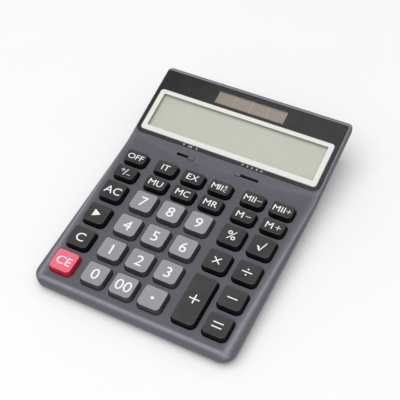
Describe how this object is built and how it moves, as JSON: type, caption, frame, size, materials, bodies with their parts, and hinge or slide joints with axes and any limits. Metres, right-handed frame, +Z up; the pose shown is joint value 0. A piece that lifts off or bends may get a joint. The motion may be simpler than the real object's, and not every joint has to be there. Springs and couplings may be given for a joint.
{
  "type": "desk calculator",
  "caption": "Wedge-shaped desk calculator with sprung keys, two slide switches, a tilted display behind a black panel, a solar cell and a sliding battery door.",
  "frame": {"origin": "on the desk, under the middle of the bounding box of the case", "axes": "+Z up from the desk, +Y away from the user towards the display, +X to the right of the user"},
  "size_m": [0.152, 0.2002, 0.0371],
  "materials": {
    "case": "fine spark texture, slate grey",
    "case_bottom": "fine spark texture, slate grey",
    "key_black": "satin, white printed legend",
    "key_grey": "satin, white printed legend",
    "key_red": "satin, white printed legend",
    "switch_knob": "satin",
    "panel": "polished acrylic, printed black behind",
    "bezel": "painted pale silver",
    "display": "reflective liquid crystal cell, blank",
    "solar": "amorphous silicon on glass",
    "ribbon": "polyimide film",
    "lead": "two insulated wires side by side",
    "silicone": "moulded silicone",
    "board": "solder mask over glass fibre",
    "epoxy": "potting blob",
    "battery_can": "nickel plated",
    "contact_metal": "nickel plated spring strip",
    "foot_rubber": "moulded",
    "screw_steel": "zinc plated"
  },
  "bodies": {
    "case": {"battery": "battery_can", "battery_contact_side": "contact_metal", "battery_contact_top": "contact_metal", "chip_cover": "epoxy", "circuit_board": "board", "display_bezel": "bezel", "display_cell": "display", "display_panel": "panel", "display_ribbon": "ribbon", "dome_mat": "silicone", "foot_back_left": "foot_rubber", "foot_back_right": "foot_rubber", "foot_front_left": "foot_rubber", "foot_front_right": "foot_rubber", "lower_case": "case_bottom", "screw_back_left": "screw_steel", "screw_back_right": "screw_steel", "screw_front_left": "screw_steel", "screw_front_right": "screw_steel", "solar_cell": "solar", "solar_lead": "lead", "upper_case": "case"},
    "key_all_clear": {"key_all_clear": "key_black"},
    "key_clear": {"key_clear": "key_black"},
    "key_clear_entry": {"key_clear_entry": "key_red"},
    "key_divide": {"key_divide": "key_black"},
    "key_double_zero": {"key_double_zero": "key_grey"},
    "key_eight": {"key_eight": "key_grey"},
    "key_equals": {"key_equals": "key_black"},
    "key_exchange": {"key_exchange": "key_black"},
    "key_five": {"key_five": "key_grey"},
    "key_four": {"key_four": "key_grey"},
    "key_item": {"key_item": "key_black"},
    "key_mark_up": {"key_mark_up": "key_black"},
    "key_memory2_minus": {"key_memory2_minus": "key_black"},
    "key_memory2_plus": {"key_memory2_plus": "key_black"},
    "key_memory2_recall": {"key_memory2_recall": "key_black"},
    "key_memory_clear": {"key_memory_clear": "key_black"},
    "key_memory_minus": {"key_memory_minus": "key_black"},
    "key_memory_plus": {"key_memory_plus": "key_black"},
    "key_memory_recall": {"key_memory_recall": "key_black"},
    "key_minus": {"key_minus": "key_black"},
    "key_multiply": {"key_multiply": "key_black"},
    "key_nine": {"key_nine": "key_grey"},
    "key_off": {"key_off": "key_black"},
    "key_one": {"key_one": "key_grey"},
    "key_percent": {"key_percent": "key_black"},
    "key_plus": {"key_plus": "key_black"},
    "key_point": {"key_point": "key_grey"},
    "key_root": {"key_root": "key_black"},
    "key_seven": {"key_seven": "key_grey"},
    "key_shift": {"key_shift": "key_black"},
    "key_sign": {"key_sign": "key_black"},
    "key_six": {"key_six": "key_grey"},
    "key_three": {"key_three": "key_grey"},
    "key_two": {"key_two": "key_grey"},
    "key_zero": {"key_zero": "key_grey"},
    "rounding_switch": {"rounding_switch": "switch_knob"},
    "decimal_switch": {"decimal_switch": "switch_knob"},
    "battery_door": {"battery_door": "case_bottom"}
  },
  "joints": [
    {"name": "key_all_clear_press", "type": "slide", "parent": "case", "child": "key_all_clear", "axis": [0, 0.0698, -0.9976], "range_m": [0, 0.0016], "stiffness_N_per_m": 300, "springref_m": -0.001, "deforming": ["dome_mat"]},
    {"name": "key_clear_press", "type": "slide", "parent": "case", "child": "key_clear", "axis": [0, 0.0698, -0.9976], "range_m": [0, 0.0016], "stiffness_N_per_m": 300, "springref_m": -0.001, "deforming": ["dome_mat"]},
    {"name": "key_clear_entry_press", "type": "slide", "parent": "case", "child": "key_clear_entry", "axis": [0, 0.0698, -0.9976], "range_m": [0, 0.0016], "stiffness_N_per_m": 300, "springref_m": -0.001, "deforming": ["dome_mat"]},
    {"name": "key_divide_press", "type": "slide", "parent": "case", "child": "key_divide", "axis": [0, 0.0698, -0.9976], "range_m": [0, 0.0016], "stiffness_N_per_m": 300, "springref_m": -0.001, "deforming": ["dome_mat"]},
    {"name": "key_double_zero_press", "type": "slide", "parent": "case", "child": "key_double_zero", "axis": [0, 0.0698, -0.9976], "range_m": [0, 0.0016], "stiffness_N_per_m": 300, "springref_m": -0.001, "deforming": ["dome_mat"]},
    {"name": "key_eight_press", "type": "slide", "parent": "case", "child": "key_eight", "axis": [0, 0.0698, -0.9976], "range_m": [0, 0.0016], "stiffness_N_per_m": 300, "springref_m": -0.001, "deforming": ["dome_mat"]},
    {"name": "key_equals_press", "type": "slide", "parent": "case", "child": "key_equals", "axis": [0, 0.0698, -0.9976], "range_m": [0, 0.0016], "stiffness_N_per_m": 300, "springref_m": -0.001, "deforming": ["dome_mat"]},
    {"name": "key_exchange_press", "type": "slide", "parent": "case", "child": "key_exchange", "axis": [0, 0.0698, -0.9976], "range_m": [0, 0.0016], "stiffness_N_per_m": 300, "springref_m": -0.001, "deforming": ["dome_mat"]},
    {"name": "key_five_press", "type": "slide", "parent": "case", "child": "key_five", "axis": [0, 0.0698, -0.9976], "range_m": [0, 0.0016], "stiffness_N_per_m": 300, "springref_m": -0.001, "deforming": ["dome_mat"]},
    {"name": "key_four_press", "type": "slide", "parent": "case", "child": "key_four", "axis": [0, 0.0698, -0.9976], "range_m": [0, 0.0016], "stiffness_N_per_m": 300, "springref_m": -0.001, "deforming": ["dome_mat"]},
    {"name": "key_item_press", "type": "slide", "parent": "case", "child": "key_item", "axis": [0, 0.0698, -0.9976], "range_m": [0, 0.0016], "stiffness_N_per_m": 300, "springref_m": -0.001, "deforming": ["dome_mat"]},
    {"name": "key_mark_up_press", "type": "slide", "parent": "case", "child": "key_mark_up", "axis": [0, 0.0698, -0.9976], "range_m": [0, 0.0016], "stiffness_N_per_m": 300, "springref_m": -0.001, "deforming": ["dome_mat"]},
    {"name": "key_memory2_minus_press", "type": "slide", "parent": "case", "child": "key_memory2_minus", "axis": [0, 0.0698, -0.9976], "range_m": [0, 0.0016], "stiffness_N_per_m": 300, "springref_m": -0.001, "deforming": ["dome_mat"]},
    {"name": "key_memory2_plus_press", "type": "slide", "parent": "case", "child": "key_memory2_plus", "axis": [0, 0.0698, -0.9976], "range_m": [0, 0.0016], "stiffness_N_per_m": 300, "springref_m": -0.001, "deforming": ["dome_mat"]},
    {"name": "key_memory2_recall_press", "type": "slide", "parent": "case", "child": "key_memory2_recall", "axis": [0, 0.0698, -0.9976], "range_m": [0, 0.0016], "stiffness_N_per_m": 300, "springref_m": -0.001, "deforming": ["dome_mat"]},
    {"name": "key_memory_clear_press", "type": "slide", "parent": "case", "child": "key_memory_clear", "axis": [0, 0.0698, -0.9976], "range_m": [0, 0.0016], "stiffness_N_per_m": 300, "springref_m": -0.001, "deforming": ["dome_mat"]},
    {"name": "key_memory_minus_press", "type": "slide", "parent": "case", "child": "key_memory_minus", "axis": [0, 0.0698, -0.9976], "range_m": [0, 0.0016], "stiffness_N_per_m": 300, "springref_m": -0.001, "deforming": ["dome_mat"]},
    {"name": "key_memory_plus_press", "type": "slide", "parent": "case", "child": "key_memory_plus", "axis": [0, 0.0698, -0.9976], "range_m": [0, 0.0016], "stiffness_N_per_m": 300, "springref_m": -0.001, "deforming": ["dome_mat"]},
    {"name": "key_memory_recall_press", "type": "slide", "parent": "case", "child": "key_memory_recall", "axis": [0, 0.0698, -0.9976], "range_m": [0, 0.0016], "stiffness_N_per_m": 300, "springref_m": -0.001, "deforming": ["dome_mat"]},
    {"name": "key_minus_press", "type": "slide", "parent": "case", "child": "key_minus", "axis": [0, 0.0698, -0.9976], "range_m": [0, 0.0016], "stiffness_N_per_m": 300, "springref_m": -0.001, "deforming": ["dome_mat"]},
    {"name": "key_multiply_press", "type": "slide", "parent": "case", "child": "key_multiply", "axis": [0, 0.0698, -0.9976], "range_m": [0, 0.0016], "stiffness_N_per_m": 300, "springref_m": -0.001, "deforming": ["dome_mat"]},
    {"name": "key_nine_press", "type": "slide", "parent": "case", "child": "key_nine", "axis": [0, 0.0698, -0.9976], "range_m": [0, 0.0016], "stiffness_N_per_m": 300, "springref_m": -0.001, "deforming": ["dome_mat"]},
    {"name": "key_off_press", "type": "slide", "parent": "case", "child": "key_off", "axis": [0, 0.0698, -0.9976], "range_m": [0, 0.0016], "stiffness_N_per_m": 300, "springref_m": -0.001, "deforming": ["dome_mat"]},
    {"name": "key_one_press", "type": "slide", "parent": "case", "child": "key_one", "axis": [0, 0.0698, -0.9976], "range_m": [0, 0.0016], "stiffness_N_per_m": 300, "springref_m": -0.001, "deforming": ["dome_mat"]},
    {"name": "key_percent_press", "type": "slide", "parent": "case", "child": "key_percent", "axis": [0, 0.0698, -0.9976], "range_m": [0, 0.0016], "stiffness_N_per_m": 300, "springref_m": -0.001, "deforming": ["dome_mat"]},
    {"name": "key_plus_press", "type": "slide", "parent": "case", "child": "key_plus", "axis": [0, 0.0698, -0.9976], "range_m": [0, 0.0016], "stiffness_N_per_m": 300, "springref_m": -0.001, "deforming": ["dome_mat"]},
    {"name": "key_point_press", "type": "slide", "parent": "case", "child": "key_point", "axis": [0, 0.0698, -0.9976], "range_m": [0, 0.0016], "stiffness_N_per_m": 300, "springref_m": -0.001, "deforming": ["dome_mat"]},
    {"name": "key_root_press", "type": "slide", "parent": "case", "child": "key_root", "axis": [0, 0.0698, -0.9976], "range_m": [0, 0.0016], "stiffness_N_per_m": 300, "springref_m": -0.001, "deforming": ["dome_mat"]},
    {"name": "key_seven_press", "type": "slide", "parent": "case", "child": "key_seven", "axis": [0, 0.0698, -0.9976], "range_m": [0, 0.0016], "stiffness_N_per_m": 300, "springref_m": -0.001, "deforming": ["dome_mat"]},
    {"name": "key_shift_press", "type": "slide", "parent": "case", "child": "key_shift", "axis": [0, 0.0698, -0.9976], "range_m": [0, 0.0016], "stiffness_N_per_m": 300, "springref_m": -0.001, "deforming": ["dome_mat"]},
    {"name": "key_sign_press", "type": "slide", "parent": "case", "child": "key_sign", "axis": [0, 0.0698, -0.9976], "range_m": [0, 0.0016], "stiffness_N_per_m": 300, "springref_m": -0.001, "deforming": ["dome_mat"]},
    {"name": "key_six_press", "type": "slide", "parent": "case", "child": "key_six", "axis": [0, 0.0698, -0.9976], "range_m": [0, 0.0016], "stiffness_N_per_m": 300, "springref_m": -0.001, "deforming": ["dome_mat"]},
    {"name": "key_three_press", "type": "slide", "parent": "case", "child": "key_three", "axis": [0, 0.0698, -0.9976], "range_m": [0, 0.0016], "stiffness_N_per_m": 300, "springref_m": -0.001, "deforming": ["dome_mat"]},
    {"name": "key_two_press", "type": "slide", "parent": "case", "child": "key_two", "axis": [0, 0.0698, -0.9976], "range_m": [0, 0.0016], "stiffness_N_per_m": 300, "springref_m": -0.001, "deforming": ["dome_mat"]},
    {"name": "key_zero_press", "type": "slide", "parent": "case", "child": "key_zero", "axis": [0, 0.0698, -0.9976], "range_m": [0, 0.0016], "stiffness_N_per_m": 300, "springref_m": -0.001, "deforming": ["dome_mat"]},
    {"name": "rounding_switch_slide", "type": "slide", "parent": "case", "child": "rounding_switch", "axis": [1, 0, 0], "range_m": [-0.0106, 0]},
    {"name": "decimal_switch_slide", "type": "slide", "parent": "case", "child": "decimal_switch", "axis": [1, 0, 0], "range_m": [0, 0.0149]},
    {"name": "battery_door_slide", "type": "slide", "parent": "case", "child": "battery_door", "axis": [0, 1, 0], "range_m": [0, 0.026]}
  ]
}
